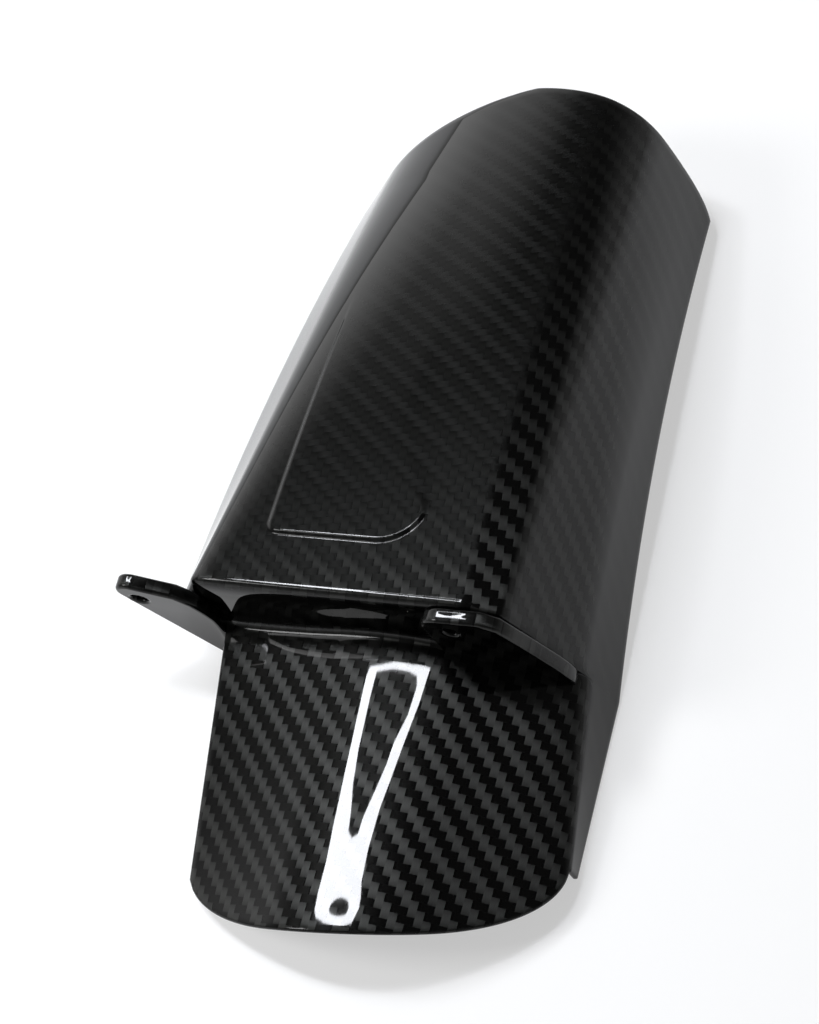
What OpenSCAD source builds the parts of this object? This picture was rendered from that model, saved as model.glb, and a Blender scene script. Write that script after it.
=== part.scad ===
// Rear fender moulded in one piece as a glossy woven shell: a raised body over
// the tyre, a lower splash tongue in front of it, the step wall between the two,
// and two bolted ears that stand in front of the step wall.
// X runs across the wheel, Y from the step wall back to the tail, Z up.
// Sizes with three values are given at the step, halfway along and at the tail.

/* [Shell] */
// Thickness of the moulded wall
wall_t = 2; // [1.6:0.2:3]
// Depth of the rounded step wall, from the tongue to the body
step_d = 8; // [8:1:16]

/* [Body section] */
// Lower edge of the left side, across
left_edge_x = [-95, -88, -83]; // [-100:1:-76]
// Lower edge of the left side, up
left_edge_z = [-5, -34, -99]; // [-104:1:0]
// Crease between the left side and the plateau, across
crease_x = [-82.5, -65.5, -60]; // [-86:0.5:-54]
// Crease between the left side and the plateau, up
crease_z = [31, 6, -42]; // [-50:1:35]
// Ridge at the right end of the plateau, across
ridge_x = [22, 18, 8]; // [4:1:28]
// Ridge at the right end of the plateau, up
ridge_z = [54, 33, -10]; // [-18:1:58]
// Shoulder where the surface turns down to the right, across
shoulder_x = [38, 37, 36]; // [31:1:44]
// Shoulder where the surface turns down to the right, up
shoulder_z = [51, 28, -17]; // [-22:1:55]
// Line where the right flange begins, across
flange_x = [64, 56, 51]; // [48:1:68]
// Line where the right flange begins, up
flange_z = [12, 0, -42]; // [-48:1:16]
// Lower edge of the right flange, across
right_edge_x = [76, 67, 66]; // [60:1:82]
// Lower edge of the right flange, up
right_edge_z = [-16, -27, -64]; // [-76:1:-5]

/* [Body] */
// Length of the left side edge behind the step wall
body_l = 206; // [170:1:250]
// How much longer the right side edge is than the left
tail_skew = 12; // [0:1:20]
// How far the rounded tail reaches past the side edges
tail_l = 42; // [25:1:60]
// Roundness of the creases at the step, as a share of the facets beside them
crease_soft = 0.1; // [0.05:0.01:0.25]

/* [Tongue] */
// Length of the left side edge in front of the step wall
tongue_l = 96; // [75:1:120]
// How much shorter the right side edge is than the left
tongue_skew = 24; // [0:1:30]
// How far the rounded front reaches past the side edges
tongue_tip = 30; // [15:1:40]
// Lower edge of the left side at the step and at the front, across
tongue_left_x = [-75, -63]; // [-78:1:-56]
// Lower edge of the left side at the step and at the front, up
tongue_left_z = [-4, -5]; // [-12:1:4]
// Ridge of the tongue at the step and at the front, across
tongue_ridge_x = [4, 0]; // [-8:1:12]
// Ridge of the tongue at the step and at the front, up
tongue_ridge_z = [24, 33]; // [20:1:38]
// Line where the right flange begins at the front, across and up
tongue_flange = [78, 9]; // [4:1:84]
// Lower edge of the right flange at the front, across and up
tongue_right = [77, 1]; // [-4:1:82]
// Roundness of the tongue's ridge, as a share of the facets beside it
ridge_soft = 0.4; // [0.2:0.05:0.5]

/* [Panel] */
// Height of the raised panel on the plateau
panel_h = 1.2; // [0.6:0.2:2]
// Front edge of the panel, behind the step wall
panel_y = 24; // [18:1:40]
// Length over which the panel fades into the plateau
panel_l = 115; // [90:5:150]
// Left and right ends of the panel's front edge
panel_x = [-59, 2]; // [-64:1:10]

/* [Ears] */
// Thickness of each ear
ear_t = 5; // [4:0.5:7]
// Radius of the left ear's rounded tip
left_r = 6; // [5:0.5:7]
// Radius of the right ear's rounded tip
right_r = 8.5; // [7.5:0.5:9]
// Diameter of the bolt hole in each ear
hole_d = 6.4; // [5.5:0.1:7]
// Centre of the left ear's rounded tip, across and up
left_tip = [-105.5, 22.5]; // [-110:0.5:25]
// Centre of the left ear's hole, across and up
left_hole = [-103, 18]; // [-105:0.5:20]
// Centre of the right ear's rounded tip, across and up
right_tip = [17.5, 44]; // [16:0.5:46]
// Centre of the right ear's hole, across and up
right_hole = [20, 43.5]; // [18:0.5:45]

/* [Hidden] */
// Distance behind the step wall at which the tail values are given
rail_l = 260;
// Turn and move that stand the lower corners on the ground, with the origin
// on the ground under the middle of the part
rest_turn = [10.41, 4.92, 0];
rest_move = [17.1, -67.09, 23.0];
// Stations along each facet of the section, closer beside the creases
leg_steps = [0, 0.1, 0.3, 0.5, 0.7, 0.9];
us = [for (k = [0:4], s = leg_steps) k + s, 5];
// Stations along the length: tongue, step wall, body
as = [for (i = [0:9]) i / 10, for (i = [0:9]) 1 + i / 10, for (i = [0:20]) 2 + i / 20];

function mix(p, q, t) = p * (1 - t) + q * t;

// A size at distance y behind the step, on a parabola through its three values
function along(three, y) =
    let (t = y / rail_l)
    three[0] * (1 - t) * (1 - 2 * t) + three[1] * 4 * t * (1 - t) + three[2] * t * (2 * t - 1);

// The six corners of the body's section at y, from the left edge to the right
function corners(y) = [
    [along(left_edge_x, y), along(left_edge_z, y)],
    [along(crease_x, y), along(crease_z, y)],
    [along(ridge_x, y), along(ridge_z, y)],
    [along(shoulder_x, y), along(shoulder_z, y)],
    [along(flange_x, y), along(flange_z, y)],
    [along(right_edge_x, y), along(right_edge_z, y)]
];

// Point at u along straight legs between corners, with u counting the corners
function on_legs(list, u) =
    let (k = max(0, min(len(list) - 2, floor(u))))
    mix(list[k], list[k + 1], u - k);

// Bezier arc from p to q, drawn toward the corner c
function bend(p, c, q, t) = p * (1 - t) * (1 - t) + c * 2 * t * (1 - t) + q * t * t;

// Share of each leg that is rounded at y: tight at the step, full at the tail
function softness(y) =
    min(0.5, crease_soft + (0.5 - crease_soft) * max(0, y / body_l));

// Body surface at u across and y along
function body_at(u, y) =
    let (list = corners(y),
         w = softness(y),
         k = max(1, min(4, round(u))),
         p = abs(u - k) >= w
             ? on_legs(list, u)
             : bend(on_legs(list, k - w), list[k], on_legs(list, k + w), (u - k + w) / (2 * w)))
    [p[0], y, p[1]];

// The four corners of the tongue's section at y, from the left edge to the right
function tongue_corners(y) =
    let (t = -y / tongue_l)
    [
        [mix(tongue_left_x[0], tongue_left_x[1], t), mix(tongue_left_z[0], tongue_left_z[1], t)],
        [mix(tongue_ridge_x[0], tongue_ridge_x[1], t), mix(tongue_ridge_z[0], tongue_ridge_z[1], t)],
        mix(corners(0)[4], tongue_flange, t),
        mix(corners(0)[5], tongue_right, t)
    ];

// Tongue surface at u across and y along
function tongue_at(u, y) =
    let (list = tongue_corners(y),
         s = u > 4 ? u - 2 : u / 2,
         k = s < 1.5 ? 1 : 2,
         w = k == 1 ? ridge_soft : 0.3,
         p = abs(s - k) >= w
             ? on_legs(list, s)
             : bend(on_legs(list, k - w), list[k], on_legs(list, k + w), (s - k + w) / (2 * w)))
    [p[0], y, p[1]];

// Share of the way across from x0 to x1
function across(x, x0, x1) = max(0, min(1, (x - x0) / (x1 - x0)));

// Plan outline of a rounded end: 1 at the middle and 0 at both side edges
function end_round(t, n, m) = pow(1 - pow(abs(2 * t - 1), n), 1 / m);

function tail_y(u) =
    let (t = across(body_at(u, body_l)[0], body_at(0, body_l)[0], body_at(5, body_l)[0]))
    body_l + tail_skew * t + tail_l * end_round(t, 1.3, 1.8);

function front_y(u) =
    let (t = across(tongue_at(u, -tongue_l)[0], tongue_at(0, -tongue_l)[0], tongue_at(5, -tongue_l)[0]))
    -tongue_l + tongue_skew * t - tongue_tip * end_round(t, 2, 2);

// Outer surface: a runs 0 to 1 over the tongue, 1 to 2 up the step wall and
// 2 to 3 over the body. The step wall leaves both surfaces along their slope.
function skin_at(u, a) =
    a <= 1 ? tongue_at(u, mix(front_y(u), -step_d / 2, a))
    : a >= 2 ? body_at(u, mix(step_d / 2, tail_y(u), a - 2))
    : let (b = a - 1,
           y = step_d * 4 * pow(b - 0.5, 3))
        mix(tongue_at(u, y), body_at(u, y), b * b * (3 - 2 * b));

// Outward normal of the outer surface
function normal_at(u, a) =
    let (e = 0.02,
         n = cross(skin_at(u + e, a) - skin_at(u - e, a), skin_at(u, a + e) - skin_at(u, a - e)))
    n / norm(n);

// Closed shell over the stations a_list, from lift above the outer surface to
// depth below it. The lift fades along the panel.
module shell(a_list, u_list, lift, depth) {
    rows = len(a_list);
    cols = len(u_list);
    count = rows * cols;
    outer = [for (a = a_list, u = u_list)
        let (p = skin_at(u, a))
        p + normal_at(u, a) * lift * max(0, 1 - (p[1] - panel_y) / panel_l)];
    inner = [for (a = a_list, u = u_list) skin_at(u, a) - normal_at(u, a) * depth];
    cells = [for (i = [0:rows - 2], j = [0:cols - 2])
        [i * cols + j, i * cols + j + 1, (i + 1) * cols + j + 1, (i + 1) * cols + j]];
    rim = [
        for (j = [0:cols - 2]) [j, j + 1],
        for (i = [0:rows - 2]) [i * cols + cols - 1, (i + 1) * cols + cols - 1],
        for (j = [0:cols - 2]) [(rows - 1) * cols + j + 1, (rows - 1) * cols + j],
        for (i = [0:rows - 2]) [(i + 1) * cols, i * cols]
    ];
    polyhedron(
        concat(outer, inner),
        [
            for (q = cells) [q[2], q[1], q[0]],
            for (q = cells) [q[3], q[2], q[0]],
            for (q = cells) [q[0] + count, q[1] + count, q[2] + count],
            for (q = cells) [q[0] + count, q[2] + count, q[3] + count],
            for (e = rim) [e[0], e[1], e[0] + count],
            for (e = rim) [e[0] + count, e[1], e[1] + count]
        ],
        convexity = 8
    );
}

// Plan outline of the panel, with its front corners rounded
module panel_plan() {
    small = 5;
    large = 18;
    w = panel_x[1] - panel_x[0];
    translate([panel_x[0], panel_y])
        union() {
            translate([small, small])
                circle(small, $fn = 32);
            translate([w - large, large])
                circle(large, $fn = 48);
            polygon([
                [small, 0], [w - large, 0], [w - large, large], [w, large],
                [w, panel_l], [0, panel_l], [0, small], [small, small]
            ]);
        }
}

// Panel raised over the plateau, flush again where it fades out
module panel()
    intersection() {
        shell([for (i = [1:15]) 2 + i / 20], [for (u = us) if (u > 0.6 && u < 3.2) u], panel_h, 1);
        translate([0, 0, -60])
            linear_extrude(160)
                panel_plan();
    }

// Point where the tangent from p touches the circle at c, on the given side
function touch(c, r, p, side) =
    let (d = p - c,
         a = atan2(d[1], d[0]) + side * acos(r / norm(d)))
    c + r * [cos(a), sin(a)];

// Ear plate in front of the step wall: a round tip, tangent to the outline
// that runs from its upper root round to its lower root, and a bolt hole
module ear(tip, r, hole, root)
    difference() {
        rotate([90, 0, 0])
            translate([0, 0, -1])
                linear_extrude(ear_t + 1)
                    union() {
                        translate(tip)
                            circle(r, $fn = 48);
                        polygon([
                            tip,
                            touch(tip, r, root[0], 1),
                            each root,
                            touch(tip, r, root[len(root) - 1], -1)
                        ]);
                    }
        translate([hole[0], 10, hole[1]])
            rotate([90, 0, 0])
                cylinder(h = 40, d = hole_d, $fn = 48);
    }

module left_ear()
    ear(left_tip, left_r, left_hole, [[-88, 26], [-82, 21], [-77, 13], [-74, 4], [-74, -29], [-79, -29]]);

module right_ear()
    ear(right_tip, right_r, right_hole,
        [[31, 56], [38, 53], [47, 40], [63, 15], [62, 5], [46, 10], [32, 15], [15, 19]]);

module fender()
    color("#17181a")
        translate(rest_move)
            rotate(rest_turn)
                difference() {
                    union() {
                        shell(as, us, 0, wall_t);
                        panel();
                        left_ear();
                        right_ear();
                    }
                    translate([right_hole[0], 20, right_hole[1]])
                        rotate([90, 0, 0])
                            cylinder(h = 40, d = hole_d, $fn = 48);
                }

fender();
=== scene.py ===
"""Motorcycle rear fender in glossy woven shell: one moulding with a raised
body, a lower tongue, the step wall between them and two bolted ears.

Lengths are in millimetres in the part's own frame (X across the wheel, Y from
the step wall back to the tail, Z up) until to_ground() stands the points on
the ground in metres."""
from math import cos, pi, radians, sin

import bpy
import numpy as np
from mathutils import Matrix, Vector


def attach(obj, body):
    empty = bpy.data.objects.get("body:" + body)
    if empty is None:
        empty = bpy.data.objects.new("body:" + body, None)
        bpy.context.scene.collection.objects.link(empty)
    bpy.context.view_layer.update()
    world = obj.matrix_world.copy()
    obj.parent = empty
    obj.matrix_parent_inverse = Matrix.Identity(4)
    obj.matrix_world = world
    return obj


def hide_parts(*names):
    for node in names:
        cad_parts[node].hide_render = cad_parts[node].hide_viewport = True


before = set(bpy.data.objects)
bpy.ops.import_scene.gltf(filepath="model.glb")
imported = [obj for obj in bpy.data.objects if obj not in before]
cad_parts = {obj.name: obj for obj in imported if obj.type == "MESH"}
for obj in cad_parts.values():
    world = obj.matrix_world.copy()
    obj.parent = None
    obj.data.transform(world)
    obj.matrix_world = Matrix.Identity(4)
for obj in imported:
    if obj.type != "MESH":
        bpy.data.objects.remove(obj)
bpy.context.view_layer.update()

MM = 0.001

# Shell, as in the CAD part. CORNERS holds the X and the Z of each corner of the
# body's section, at the step, halfway along RAIL_L and at its end
WALL_T = 2.0
STEP_D = 8.0
RAIL_L = 260.0
CORNERS = (
    ((-95, -88, -83), (-5, -34, -99)),
    ((-82.5, -65.5, -60), (31, 6, -42)),
    ((22, 18, 8), (54, 33, -10)),
    ((38, 37, 36), (51, 28, -17)),
    ((64, 56, 51), (12, 0, -42)),
    ((76, 67, 66), (-16, -27, -64)),
)
# u runs across the section, from 0 at the left edge to LEGS at the right
LEGS = len(CORNERS) - 1
BODY_L = 206.0
TAIL_SKEW = 12.0
TAIL_L = 42.0
TAIL_ROUND = (1.3, 1.8)
CREASE_SOFT = 0.1
# Share of the body, at its back, that stretches to the rounded tail
TAIL_EASE = 0.65
# Tongue: the X and the Z of each corner, at the step wall and at TONGUE_L from it
TONGUE_L = 96.0
TONGUE_SKEW = 24.0
TONGUE_TIP = 30.0
TONGUE_ROUND = (2, 2)
TONGUE_CORNERS = (
    ((-75, -63), (-4, -5)),
    ((4, 0), (24, 33)),
    ((64, 78), (12, 9)),
    ((76, 77), (-16, 1)),
)
RIDGE_SOFT = 0.4
FLANGE_SOFT = 0.3
PANEL_H = 1.2
PANEL_Y = 24.0
PANEL_L = 115.0
PANEL_X = (-59.0, 2.0)
# Width of the panel's slope: at its crisp edges, and what the soft right side adds
PANEL_SLOPE = (1.3, 30.0)
# Radii of the panel's left and right front corners
PANEL_ROUND = (5.0, 18.0)
EAR_T = 5.0
# How far the ears reach behind the plane where Y is 0
EAR_SEAT = 1.0
HOLE_D = 6.4
# Ears: tip centre, tip radius, hole centre, then the root's outline
LEFT_EAR = ((-105.5, 22.5), 6.0, (-103, 18),
            ((-88, 26), (-82, 21), (-77, 13), (-74, 4), (-74, -29), (-79, -29)))
RIGHT_EAR = ((17.5, 44), 8.5, (20, 43.5),
             ((31, 56), (38, 53), (47, 40), (63, 15), (62, 5), (46, 10), (32, 15), (15, 19)))
REST_TURN = (10.41, 4.92)
REST_MOVE = (17.1, -67.09, 23.0)

# Rounding of the trimmed edges and of the ears
RIM_R = 1.0
EAR_ROUND = 1.4

# Cloth: width of a tow, and the angle of the threads on the tongue and the body
TOW = 3.0
CLOTH_TURN = (-1.0, 7.1)
# How far the cloth coordinates move at each step round the rim
RIM_CLOTH = 0.3
# Brightness of the threads that run across and along, with painted sheen: the threads along are painted
# brighter, standing in for the light their fibres catch
THREAD_SHEEN = (0.008, 0.026)


def to_ground(points):
    """Points of the part's frame, in millimetres, as metres where the part stands."""
    pitch, roll = (radians(angle) for angle in REST_TURN)
    turn = Matrix.Rotation(roll, 3, "Y") @ Matrix.Rotation(pitch, 3, "X")
    return (np.asarray(points) @ np.array(turn).T + np.array(REST_MOVE)) * MM


# ---------------------------------------------------------------- surface
def mix(p, q, t):
    return p * (1 - t) + q * t


def along(three, y):
    """Parabola through the three values, which are spaced evenly over RAIL_L."""
    t = y / RAIL_L
    return three[0] * (1 - t) * (1 - 2 * t) + three[1] * 4 * t * (1 - t) + three[2] * t * (2 * t - 1)


def corners(y):
    """The six corners of the body's section at each y, as an array (6, n, 2)."""
    return np.array([np.stack([along(xs, y), along(zs, y)], -1) for xs, zs in CORNERS])


def on_legs(points, u):
    """Points at u along straight legs, with u counting the corners."""
    k = np.clip(np.floor(u).astype(int), 0, len(points) - 2)
    n = np.arange(len(u))
    return mix(points[k, n], points[k + 1, n], (u - k)[:, None])


def bend(p, c, q, t):
    """Bezier arc from p to q, drawn toward the corner c."""
    return p * (1 - t) ** 2 + c * 2 * t * (1 - t) + q * t ** 2


def softness(y):
    """Share of each leg that is rounded: little at the step, all of it at the tail."""
    return np.minimum(0.5, CREASE_SOFT + (0.5 - CREASE_SOFT) * np.maximum(0, y / BODY_L))


def body_at(u, y):
    points, w = corners(y), softness(y)
    k = np.clip(np.rint(u).astype(int), 1, LEGS - 1)
    t = ((u - k + w) / (2 * w))[:, None]
    n = np.arange(len(u))
    round_part = bend(on_legs(points, k - w), points[k, n], on_legs(points, k + w), t)
    p = np.where((np.abs(u - k) >= w)[:, None], on_legs(points, u), round_part)
    return np.stack([p[:, 0], y, p[:, 1]], -1)


def tongue_corners(y):
    """The four corners of the tongue's section at each y, as an array (4, n, 2)."""
    t = -y / TONGUE_L
    return np.array([np.stack([mix(*xs, t), mix(*zs, t)], -1) for xs, zs in TONGUE_CORNERS])


def tongue_at(u, y):
    points = tongue_corners(y)
    s = np.where(u > 4, u - 2, u / 2)
    k = np.where(s < 1.5, 1, 2)
    w = np.where(k == 1, RIDGE_SOFT, FLANGE_SOFT)
    t = ((s - k + w) / (2 * w))[:, None]
    n = np.arange(len(u))
    round_part = bend(on_legs(points, k - w), points[k, n], on_legs(points, k + w), t)
    p = np.where((np.abs(s - k) >= w)[:, None], on_legs(points, s), round_part)
    return np.stack([p[:, 0], y, p[:, 1]], -1)


def end_round(t, n, m):
    """How far a rounded end reaches, from 0 at its sides to 1 in the middle."""
    return (1 - np.abs(2 * t - 1) ** n) ** (1 / m)


def share(surface, u, y):
    """How far across each point lies, from 0 at the left edge to 1 at the right."""
    ys = np.full_like(u, y)
    x, x0, x1 = (surface(v, ys)[:, 0] for v in (u, u * 0, u * 0 + LEGS))
    return np.clip((x - x0) / (x1 - x0), 0, 1)


def tail_y(u):
    t = share(body_at, u, BODY_L)
    return BODY_L + TAIL_SKEW * t + TAIL_L * end_round(t, *TAIL_ROUND) - RIM_R


def front_y(u):
    t = share(tongue_at, u, -TONGUE_L)
    return -TONGUE_L + TONGUE_SKEW * t - TONGUE_TIP * end_round(t, *TONGUE_ROUND) + RIM_R


def skin_at(u, a):
    """Outer surface: u runs across, and a is 0 to 1 back along the tongue, 1 to 2 up
    the step wall and 2 to 3 back along the body."""
    back = STEP_D / 2 + (a - 2) * (BODY_L - STEP_D / 2)
    ramp = np.clip((a - 3 + TAIL_EASE) / TAIL_EASE, 0, 1) ** 2
    y_body = back + (tail_y(u) - BODY_L) * ramp
    y_tongue = mix(front_y(u), -STEP_D / 2, np.clip(a, 0, 1))
    b = np.clip(a - 1, 0, 1)
    y_wall = STEP_D * 4 * (b - 0.5) ** 3
    wall = mix(tongue_at(u, y_wall), body_at(u, y_wall), (b * b * (3 - 2 * b))[:, None])
    return np.where((a <= 1)[:, None], tongue_at(u, y_tongue),
                    np.where((a >= 2)[:, None], body_at(u, y_body), wall))


def normal_at(u, a):
    e = 0.004
    across = skin_at(u + e, a) - skin_at(u - e, a)
    back = skin_at(u, a + e) - skin_at(u, a - e)
    n = np.cross(across, back)
    return n / np.linalg.norm(n, axis=1)[:, None]


# ---------------------------------------------------------------- panel
def inside_panel(x, y):
    """Distance inside the panel's plan outline, negative outside it."""
    def corner(cx, cy, r, use):
        return np.where(use, r - np.hypot(x - cx, y - cy), 1e9)
    small, large = PANEL_ROUND
    d = np.minimum(x - PANEL_X[0], y - PANEL_Y)
    d = np.minimum(d, PANEL_X[1] - x)
    lx, ly = PANEL_X[0] + small, PANEL_Y + small
    rx, ry = PANEL_X[1] - large, PANEL_Y + large
    d = np.minimum(d, corner(lx, ly, small, (x < lx) & (y < ly)))
    return np.minimum(d, corner(rx, ry, large, (x > rx) & (y < ry)))


def panel_lift(points):
    """Height of the panel over the plateau. From 14 mm behind its front, its right
    side melts into the surface, and the whole panel fades out over PANEL_L."""
    x, y = points[:, 0], points[:, 1]
    soft = np.clip((y - PANEL_Y - 14) / 40, 0, 1) * np.clip((x + 40) / 30, 0, 1)
    width = PANEL_SLOPE[0] + PANEL_SLOPE[1] * soft
    t = np.clip(inside_panel(x, y) / width, 0, 1)
    fade = np.clip(1 - (y - PANEL_Y) / PANEL_L, 0, 1)
    return PANEL_H * fade * t * t * (3 - 2 * t)


# ---------------------------------------------------------------- grids
def spaced(stops):
    """Values from stop to stop, each stretch cut into its own number of steps."""
    out = [stops[0][0]]
    for (start, count), (end, _) in zip(stops, stops[1:]):
        out += list(np.linspace(start, end, count + 1)[1:])
    return np.array(out)


def columns():
    """Values of u, closer together at the creases and at the panel's sides."""
    return spaced([
        (0.0, 14), (0.85, 16), (1.14, 12), (1.24, 24), (1.62, 44), (1.84, 8),
        (1.9, 14), (2.1, 12), (2.9, 14), (3.1, 16), (3.85, 14), (4.3, 12), (LEGS, 0),
    ])


def rows():
    """Values of a, closer together at the step wall and along the panel."""
    per_mm = 1 / (BODY_L - STEP_D / 2)
    return spaced([
        (0.0, 60), (0.97, 4), (1.0, 26), (2.0, 4), (2 + 5 * per_mm, 6),
        (2 + 17 * per_mm, 8), (2 + 21 * per_mm, 34), (2 + 41 * per_mm, 84), (3.0, 0),
    ])


def column_u(c, a):
    """The column's u at a, with the close columns moved onto the panel's left side."""
    y = STEP_D / 2 + (a - 2) * (BODY_L - STEP_D / 2)
    low, high = np.full_like(a, 1.0), np.full_like(a, 1.8)
    for _ in range(24):  # halving the stretch of u that holds PANEL_X[0]
        middle = (low + high) / 2
        left = body_at(middle, y)[:, 0] < PANEL_X[0]
        low, high = np.where(left, middle, low), np.where(left, high, middle)
    middle_c = 1.19
    hat = np.where(np.abs(c - middle_c) < 0.5, np.cos(pi * (c - middle_c)) ** 2, 0)
    on_body = np.clip((a - 2) * 8, 0, 1)
    return c + hat * (low - middle_c) * on_body


def girth(surface, u, y):
    """Length across the section at y, from where X is 0 to u, read from a table."""
    sections, per_u = 80, 20
    ys, us = np.linspace(y.min() - 1, y.max() + 1, sections), np.linspace(0, LEGS, LEGS * per_u + 1)
    grid = surface(np.tile(us, sections), np.repeat(ys, len(us))).reshape(sections, len(us), 3)
    length = np.cumsum(np.linalg.norm(np.diff(grid, axis=1), axis=2), 1)
    length = np.hstack([np.zeros((sections, 1)), length])
    length -= np.array([[np.interp(0.0, xs, row)] for xs, row in zip(grid[:, :, 0], length)])
    fy = (y - ys[0]) / (ys[1] - ys[0])
    fu = np.clip(u, 0, LEGS - 0.0001) * per_u
    i, j = fy.astype(int), fu.astype(int)
    fy, fu = fy - i, fu - j
    here = mix(length[i, j], length[i, j + 1], fu)
    behind = mix(length[i + 1, j], length[i + 1, j + 1], fu)
    return mix(here, behind, fy)


def cloth(points, u, a):
    """Millimetres across and along the cloth at each point of the grid."""
    y = points[:, :, 1]
    b = np.clip(a - 1, 0, 1)
    on_tongue = girth(tongue_at, u.ravel(), np.minimum(y, STEP_D).ravel())
    on_body = girth(body_at, u.ravel(), np.maximum(y, -STEP_D).ravel())
    across = mix(on_tongue, on_body, (b * b * (3 - 2 * b)).ravel()).reshape(y.shape)
    along_step = np.linalg.norm(np.diff(points, axis=0), axis=2)
    back = np.concatenate([np.zeros((1, y.shape[1])), np.cumsum(along_step, 0)])
    at_tongue, at_body = (back[int(np.argmin(np.abs(a[:, 0] - end)))] for end in (1.0, 2.0))
    back = mix(back - at_tongue, back - at_body, b)
    turn = np.radians(np.interp(a, [1.2, 1.8], CLOTH_TURN))
    c, s = np.cos(turn), np.sin(turn)
    return np.stack([across * c + back * s, back * c - across * s], -1)


def edge_stretch(a, u0, u1):
    """Millimetres across the section for each unit of u from u0 to u1, row by row."""
    full = np.ones_like(a)
    step = skin_at(full * u1, a) - skin_at(full * u0, a)
    return np.hypot(step[:, 0], step[:, 2]) / (u1 - u0)


def shell_mesh():
    """Vertices, faces and cloth coordinates of the shell: outside, rounded rim, inside."""
    c, a = columns(), rows()
    n, m = len(a), len(c)
    cc, aa = np.tile(c, n), np.repeat(a, m)
    # The side edges move in by the rim's radius, and the normals are taken just
    # inside the outline, where the surface goes on both ways
    left, right = edge_stretch(a, 0.0, 0.1), edge_stretch(a, LEGS - 0.1, LEGS)
    inset = np.clip(1 - 2 * cc, 0, 1) * RIM_R / np.repeat(left, m)
    inset -= np.clip(1 - 2 * (LEGS - cc), 0, 1) * RIM_R / np.repeat(right, m)
    u = column_u(cc, aa) + inset
    skin = skin_at(u, aa)
    normal = normal_at(np.clip(u, 0.01, LEGS - 0.01), np.clip(aa, 0.006, 3 - 0.006))
    outer = skin + normal * (panel_lift(skin) * (aa > 2))[:, None]
    inner = skin - normal * WALL_T
    outer, inner = outer.reshape(n, m, 3), inner.reshape(n, m, 3)
    flat = cloth(skin.reshape(n, m, 3), u.reshape(n, m), aa.reshape(n, m))

    # Outline of the grid, once round
    ring = [(0, j) for j in range(m - 1)] + [(i, m - 1) for i in range(n - 1)]
    ring += [(n - 1, j) for j in range(m - 1, 0, -1)] + [(i, 0) for i in range(n - 1, 0, -1)]
    ri, rj = np.array(ring).T
    edge, below = outer[ri, rj], inner[ri, rj]
    ahead = np.roll(edge, -1, 0) - np.roll(edge, 1, 0)
    out = np.cross(ahead, edge - below)
    out = out / np.linalg.norm(out, axis=1)[:, None]
    steps = 6
    middle, half = (edge + below) / 2, (edge - below) / 2
    angles = [pi * k / steps for k in range(1, steps)]
    rim = [middle + half * cos(t) + out * RIM_R * sin(t) for t in angles]
    points = np.concatenate([outer.reshape(-1, 3), inner.reshape(-1, 3)] + rim)
    count, r = n * m, len(ring)
    idx = np.arange(count).reshape(n, m)
    q = np.stack([idx[:-1, :-1], idx[:-1, 1:], idx[1:, 1:], idx[1:, :-1]], -1).reshape(-1, 4)
    faces = [q, q[:, ::-1] + count]
    between = [2 * count + k * r + np.arange(r) for k in range(steps - 1)]
    loops = [idx[ri, rj]] + between + [idx[ri, rj] + count]
    for top, low in zip(loops, loops[1:]):
        faces.append(np.stack([np.roll(top, -1), top, low, np.roll(low, -1)], -1))
    edge_flat = flat[ri, rj]
    uv = np.concatenate([flat.reshape(-1, 2)] * 2 + [edge_flat + k * RIM_CLOTH for k in range(1, steps)])
    return points, np.concatenate(faces), uv


# ---------------------------------------------------------------- ears
def touch(c, r, p, side):
    """Where the tangent from p meets the circle at c, on the given side."""
    d = np.array(p, float) - np.array(c)
    a = np.arctan2(d[1], d[0]) + side * np.arccos(r / np.hypot(*d))
    return np.array(c) + r * np.array([cos(a), sin(a)])


def eased(points):
    """The outline with its inner corners cut twice, so that it flows."""
    for _ in range(2):
        cut = [points[0]]
        for p, q in zip(points[1:-1], points[2:]):
            near = p if len(cut) == 1 else p * 0.75 + q * 0.25
            cut += [near, p * 0.25 + q * 0.75]
        points = cut + [points[-1]]
    return points


def ear_outline(tip, r, root):
    """Round tip, tangent to the outline of the root."""
    start, end = touch(tip, r, root[0], 1), touch(tip, r, root[-1], -1)
    a0, a1 = (np.arctan2(p[1] - tip[1], p[0] - tip[0]) for p in (start, end))
    a1 += 2 * pi if a1 < a0 else 0
    arc = [np.array(tip) + r * np.array([cos(t), sin(t)]) for t in np.linspace(a1, a0, 40)]
    return [tuple(p) for p in eased([np.array(p, float) for p in root])] + [tuple(p) for p in arc]


def closed_spline(curve, points):
    """Adds a closed outline to a flat filled curve."""
    spline = curve.splines.new("POLY")
    spline.points.add(len(points) - 1)
    for target, (x, y) in zip(spline.points, points):
        target.co = (x, y, 0, 1)
    spline.use_cyclic_u = True


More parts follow.
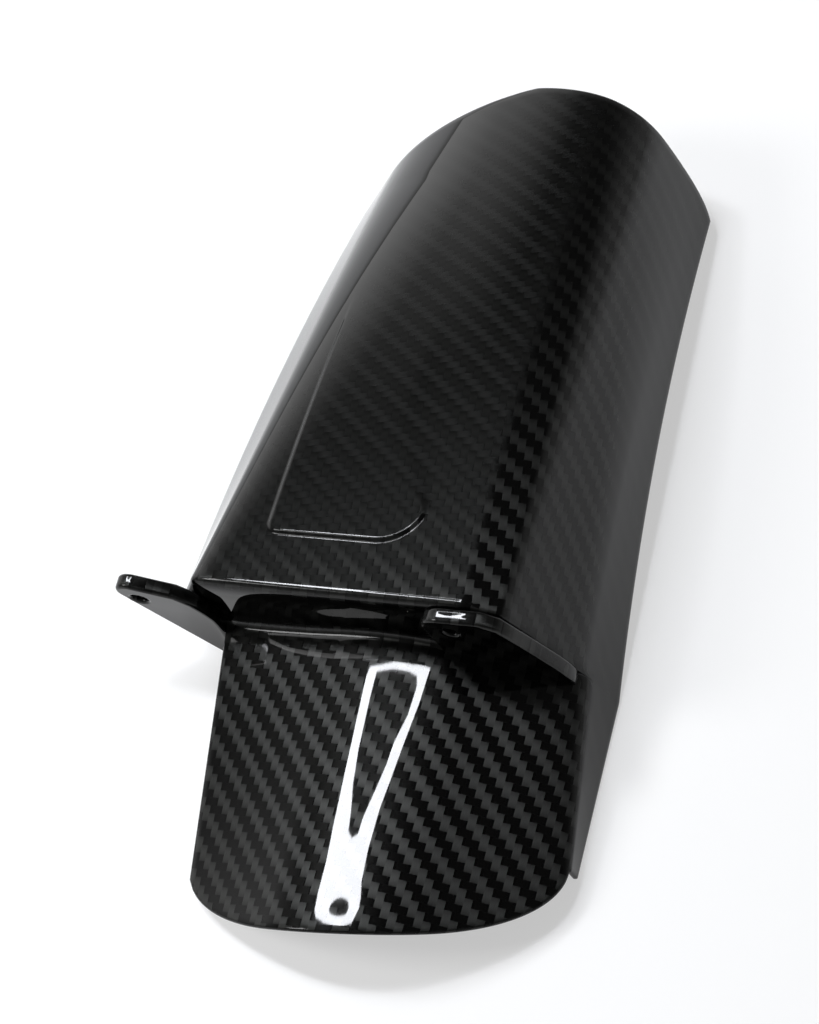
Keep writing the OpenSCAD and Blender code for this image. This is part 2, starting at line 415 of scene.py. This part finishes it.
def ear(name, tip, r, hole, root):
    """Ear plate with rounded edges and a bolt hole, in front of the step wall."""
    curve = bpy.data.curves.new(name, "CURVE")
    curve.dimensions = "2D"
    curve.fill_mode = "BOTH"
    curve.extrude = (EAR_T + EAR_SEAT) / 2 - EAR_ROUND
    curve.bevel_depth = EAR_ROUND
    curve.bevel_resolution = 5
    curve.offset = -EAR_ROUND
    closed_spline(curve, ear_outline(tip, r, root))
    turns = np.linspace(0, 2 * pi, 48, endpoint=False)
    r = HOLE_D / 2
    closed_spline(curve, [(hole[0] + r * cos(t), hole[1] + r * sin(t)) for t in turns])
    holder = bpy.data.objects.new(name + "_curve", curve)
    mesh = bpy.data.meshes.new_from_object(holder)
    bpy.data.objects.remove(holder)
    flat = np.array([v.co for v in mesh.vertices])
    uv = flat[:, :2].copy()
    points = np.stack([flat[:, 0], -flat[:, 2] + (EAR_SEAT - EAR_T) / 2, flat[:, 1]], -1)
    faces = [tuple(p.vertices) for p in mesh.polygons]
    bpy.data.meshes.remove(mesh)
    return make_piece(name, points, faces, uv)


# ---------------------------------------------------------------- pieces
def make_piece(name, points, faces, uv):
    """Smooth mesh with cloth coordinates, on the root body in the CAD node's place."""
    mesh = bpy.data.meshes.new(name)
    faces = [tuple(int(i) for i in face) for face in faces]
    mesh.from_pydata(to_ground(points).tolist(), [], faces)
    layer = mesh.uv_layers.new(name="cloth")
    vertex = np.zeros(len(mesh.loops), int)
    mesh.loops.foreach_get("vertex_index", vertex)
    layer.data.foreach_set("uv", np.asarray(uv)[vertex].ravel().astype(float))
    mesh.polygons.foreach_set("use_smooth", [True] * len(mesh.polygons))
    mesh.update()
    piece = bpy.data.objects.new(name, mesh)
    bpy.context.scene.collection.objects.link(piece)
    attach(piece, "root")
    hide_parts("fender")
    return piece


# ---------------------------------------------------------------- material
class Nodes:
    """Short calls for a material's nodes."""

    def __init__(self, tree):
        self.tree = tree

    def add(self, kind, **settings):
        node = self.tree.nodes.new(kind)
        for key, value in settings.items():
            setattr(node, key, value)
        return node

    def put(self, socket, value):
        if isinstance(value, bpy.types.NodeSocket):
            self.tree.links.new(value, socket)
        else:
            socket.default_value = value

    def math(self, operation, *values):
        node = self.add("ShaderNodeMath", operation=operation)
        for socket, value in zip(node.inputs, values):
            self.put(socket, value)
        return node.outputs[0]

    def ramp(self, value, source, target):
        node = self.add("ShaderNodeMapRange", interpolation_type="SMOOTHSTEP")
        self.put(node.inputs["Value"], value)
        for name, number in zip(("From Min", "From Max", "To Min", "To Max"), source + target):
            node.inputs[name].default_value = number
        return node.outputs[0]

    def blend(self, factor, low, high):
        return self.math("ADD", self.math("MULTIPLY", self.math("SUBTRACT", 1.0, factor), low),
                         self.math("MULTIPLY", factor, high))


def woven():
    """Black 2/2 twill under a clear coat, laid out by the cloth coordinates."""
    material = bpy.data.materials.new("woven_clearcoat")
    material.use_nodes = True
    n = Nodes(material.node_tree)
    shader = material.node_tree.nodes["Principled BSDF"]
    place = n.add("ShaderNodeUVMap", uv_map="cloth")
    split = n.add("ShaderNodeSeparateXYZ")
    n.put(split.inputs[0], place.outputs[0])
    x = n.math("DIVIDE", split.outputs[0], TOW)
    y = n.math("DIVIDE", split.outputs[1], TOW)
    # A 2/2 twill repeats every 4 tows: each passes over 2 and under 2
    i, j = n.math("FLOOR", x), n.math("FLOOR", y)
    warp_s = n.math("FLOORED_MODULO", n.math("ADD", i, y), 4.0)
    weft_s = n.math("FLOORED_MODULO", n.math("ADD", x, j), 4.0)
    is_warp = n.math("LESS_THAN", warp_s, 2.0)
    warp_p = n.math("MULTIPLY", warp_s, 0.5)
    weft_p = n.math("MULTIPLY", n.math("SUBTRACT", weft_s, 2.0), 0.5)
    pos = n.blend(is_warp, weft_p, warp_p)
    side = n.blend(is_warp, n.math("FRACT", y), n.math("FRACT", x))
    bulge = n.math("SINE", n.math("MULTIPLY", pos, pi))
    round_side = n.math("POWER", n.math("SINE", n.math("MULTIPLY", side, pi)), 0.5)
    height = n.math("ADD", n.math("MULTIPLY", bulge, 0.7), n.math("MULTIPLY", round_side, 0.3))

    # Fibres: noise drawn out along each tow
    fibre = n.add("ShaderNodeTexNoise")
    n.put(fibre.inputs["Scale"], 1.0)
    n.put(fibre.inputs["Detail"], 2.0)
    spot = n.add("ShaderNodeCombineXYZ")
    n.put(spot.inputs[0], n.math("MULTIPLY", split.outputs[0], n.blend(is_warp, 0.35, 5.0)))
    n.put(spot.inputs[1], n.math("MULTIPLY", split.outputs[1], n.blend(is_warp, 5.0, 0.35)))
    n.put(spot.inputs[2], is_warp)
    n.put(fibre.inputs["Vector"], spot.outputs[0])

    # Painted sheen and shade in the colour: the threads along are painted brighter than those across,
    # and each thread is painted darker toward its ends, where it dives under the crossing threads; the
    # streaks are the fibres' own grain
    value = n.blend(is_warp, *THREAD_SHEEN)
    crossing_shade = n.math("ADD", 0.55, n.math("MULTIPLY", bulge, 0.45))
    streak = n.math("ADD", 0.75, n.math("MULTIPLY", fibre.outputs[0], 0.5))
    value = n.math("MULTIPLY", n.math("MULTIPLY", value, crossing_shade), streak)
    colour = n.add("ShaderNodeCombineColor")
    n.put(colour.inputs[0], n.math("MULTIPLY", value, 0.98))
    n.put(colour.inputs[1], value)
    n.put(colour.inputs[2], n.math("MULTIPLY", value, 0.95))
    n.put(shader.inputs["Base Color"], colour.outputs[0])
    bump = n.add("ShaderNodeBump")
    bump.inputs["Strength"].default_value = 0.6
    bump.inputs["Distance"].default_value = 0.1 * MM
    n.put(bump.inputs["Height"], height)
    n.put(shader.inputs["Normal"], bump.outputs[0])
    tangent = n.add("ShaderNodeTangent", direction_type="UV_MAP", uv_map="cloth")
    n.put(shader.inputs["Tangent"], tangent.outputs[0])
    quarter = n.math("MULTIPLY", n.math("SUBTRACT", 1.0, is_warp), 0.25)
    n.put(shader.inputs["Anisotropic Rotation"], quarter)
    shader.inputs["Anisotropic"].default_value = 0.8
    shader.inputs["Metallic"].default_value = 1.0
    shader.inputs["Roughness"].default_value = 0.5
    shader.inputs["Coat Weight"].default_value = 1.0
    shader.inputs["Coat Roughness"].default_value = 0.02
    shader.inputs["Coat IOR"].default_value = 1.3
    shader.inputs["Specular Tint"].default_value = (0, 0, 0, 1)
    return material


# ---------------------------------------------------------------- stage
# Colour of the floor; the rest of white comes from its own glow, see floor()
FLOOR_SHADE = 0.5


def floor():
    """Pale floor that stays white to the camera and in reflections and keeps the shadow."""
    mesh = bpy.data.meshes.new("floor")
    r = 8.0
    mesh.from_pydata([(-r, -r, 0), (r, -r, 0), (r, r, 0), (-r, r, 0)], [], [(0, 1, 2, 3)])
    plate = bpy.data.objects.new("floor", mesh)
    bpy.context.scene.collection.objects.link(plate)
    material = bpy.data.materials.new("floor")
    material.use_nodes = True
    n = Nodes(material.node_tree)
    shader = material.node_tree.nodes["Principled BSDF"]
    shader.inputs["Base Color"].default_value = (FLOOR_SHADE, FLOOR_SHADE, FLOOR_SHADE, 1)
    shader.inputs["Roughness"].default_value = 1.0
    shader.inputs["Specular IOR Level"].default_value = 0.0
    shader.inputs["Emission Color"].default_value = (1, 1, 1, 1)
    path = n.add("ShaderNodeLightPath")
    mirrored = n.math("MAXIMUM", path.outputs["Is Glossy Ray"], path.outputs["Is Transmission Ray"])
    seen = n.math("MAXIMUM", path.outputs["Is Camera Ray"], mirrored)
    n.put(shader.inputs["Emission Strength"], n.math("MULTIPLY", seen, 1 - FLOOR_SHADE))
    mesh.materials.append(material)


# Direction of the glow in the sky: behind the part's left side, at the horizon
GLOW_FROM = (-0.85, 0.53, -0.03)


def sky():
    """Pale backdrop at the horizon under a dim ceiling, with a soft glow behind the left side."""
    world = bpy.data.worlds.new("studio")
    bpy.context.scene.world = world
    world.use_nodes = True
    n = Nodes(world.node_tree)
    background = world.node_tree.nodes["Background"]
    place = n.add("ShaderNodeTexCoord").outputs["Generated"]
    split = n.add("ShaderNodeSeparateXYZ")
    n.put(split.inputs[0], place)
    toward = n.add("ShaderNodeVectorMath", operation="DOT_PRODUCT")
    n.put(toward.inputs[0], place)
    toward.inputs[1].default_value = GLOW_FROM
    glow = n.ramp(toward.outputs["Value"], (0.72, 1.0), (0.0, 1.2))
    horizon = n.ramp(split.outputs[2], (0.1, 0.5), (0.5, 0.1))
    background.inputs["Color"].default_value = (1, 1, 1, 1)
    n.put(background.inputs["Strength"], n.math("ADD", glow, horizon))


def lamp(name, place, target, size, power):
    """Soft rectangular lamp; size is its width and height in metres."""
    data = bpy.data.lights.new(name, "AREA")
    data.shape = "RECTANGLE"
    data.size, data.size_y = size
    data.energy = power
    holder = bpy.data.objects.new(name, data)
    holder.location = place
    holder.rotation_euler = (Vector(target) - Vector(place)).to_track_quat("-Z", "Y").to_euler()
    bpy.context.scene.collection.objects.link(holder)


# Outline of the long hanging lamp whose reflection runs down the tongue, in
# metres on the plane CEILING above the floor, and the two openings in it: a
# window, and a slanted slot with its centre, half its length and half its width
CEILING = 1.3
FRAME_OUTLINE = (
    (-0.87, 0.352), (-0.58, 0.314), (-0.35, 0.278), (-0.15, 0.25), (-0.145, 0.22), (-0.185, 0.178),
    (-0.22, 0.135), (-0.21, 0.098), (-0.17, 0.066), (-0.12, 0.05), (-0.1, 0.04), (-0.14, 0.03),
    (-0.3, 0.036), (-0.6, 0.074), (-0.8, 0.105), (-0.88, 0.124), (-0.9, 0.145), (-0.885, 0.17),
    (-0.92, 0.21), (-0.93, 0.26), (-0.92, 0.31), (-0.9, 0.348),
)
FRAME_WINDOW = (
    (-0.77, 0.333), (-0.58, 0.307), (-0.38, 0.276), (-0.27, 0.257), (-0.235, 0.244), (-0.235, 0.218),
    (-0.29, 0.198), (-0.32, 0.18), (-0.37, 0.163), (-0.425, 0.148), (-0.43, 0.134), (-0.51, 0.14),
    (-0.6, 0.158), (-0.64, 0.18), (-0.73, 0.22), (-0.78, 0.26), (-0.785, 0.31),
)
FRAME_SLOT = ((-0.4, 0.066), (0.17, -0.018), 0.008)
FRAME_GLOW = 58.0


def frame_lamp():
    """Glowing sheet with a window and a slot; no camera sees it, only reflections."""
    curve = bpy.data.curves.new("frame_lamp", "CURVE")
    curve.dimensions = "2D"
    curve.fill_mode = "BOTH"
    closed_spline(curve, FRAME_OUTLINE)
    closed_spline(curve, FRAME_WINDOW)
    (x, y), (long_x, long_y), wide = FRAME_SLOT
    turns = np.linspace(0, 2 * pi, 24, endpoint=False)
    closed_spline(curve, [
        (x + long_x * cos(t), y + long_y * cos(t) + wide * sin(t)) for t in turns
    ])
    holder = bpy.data.objects.new("frame_curve", curve)
    mesh = bpy.data.meshes.new_from_object(holder)
    bpy.data.objects.remove(holder)
    plate = bpy.data.objects.new("frame_lamp", mesh)
    plate.location.z = CEILING
    plate.visible_camera = False
    bpy.context.scene.collection.objects.link(plate)
    material = bpy.data.materials.new("frame_lamp")
    material.use_nodes = True
    shader = material.node_tree.nodes["Principled BSDF"]
    shader.inputs["Base Color"].default_value = (0, 0, 0, 1)
    shader.inputs["Emission Color"].default_value = (0.93, 0.95, 1, 1)
    shader.inputs["Emission Strength"].default_value = FRAME_GLOW
    mesh.materials.clear()
    mesh.materials.append(material)


# The photograph's viewpoint in the part's frame, fitted to points traced in it:
# focal length, place, and the directions of the picture's right, its up and the
# way back to the viewer
CAMERA_LENS = 95.9
CAMERA_AT = (207.67, -305.37, 940.53)
CAMERA_AXES = (
    (0.96224, 0.23394, -0.13914),
    (-0.1648, 0.90757, 0.38621),
    (0.21663, -0.34869, 0.91186),
)


def camera():
    """Camera at the photograph's viewpoint, turned and moved with the part."""
    data = bpy.data.cameras.new("camera")
    data.lens = CAMERA_LENS
    data.sensor_width = 36.0
    data.clip_start, data.clip_end = 0.05, 30.0
    holder = bpy.data.objects.new("camera", data)
    eye = np.array(CAMERA_AT)
    place, *ends = to_ground(np.vstack([eye, eye + np.array(CAMERA_AXES)]))
    turn = Matrix([Vector(end - place).normalized() for end in ends]).transposed().to_4x4()
    holder.matrix_world = Matrix.Translation(Vector(place)) @ turn
    bpy.context.scene.collection.objects.link(holder)
    bpy.context.scene.camera = holder


bpy.context.scene.view_settings.view_transform = "Standard"
camera()
material = woven()
pieces = (
    make_piece("fender_shell", *shell_mesh()),
    ear("left_ear", *LEFT_EAR),
    ear("right_ear", *RIGHT_EAR),
)
for piece in pieces:
    piece.data.materials.append(material)
floor()
sky()
lamp("key", (-1.15, -0.5, 1.15), (0, 0, 0.03), (0.5, 0.5), 10)
frame_lamp()
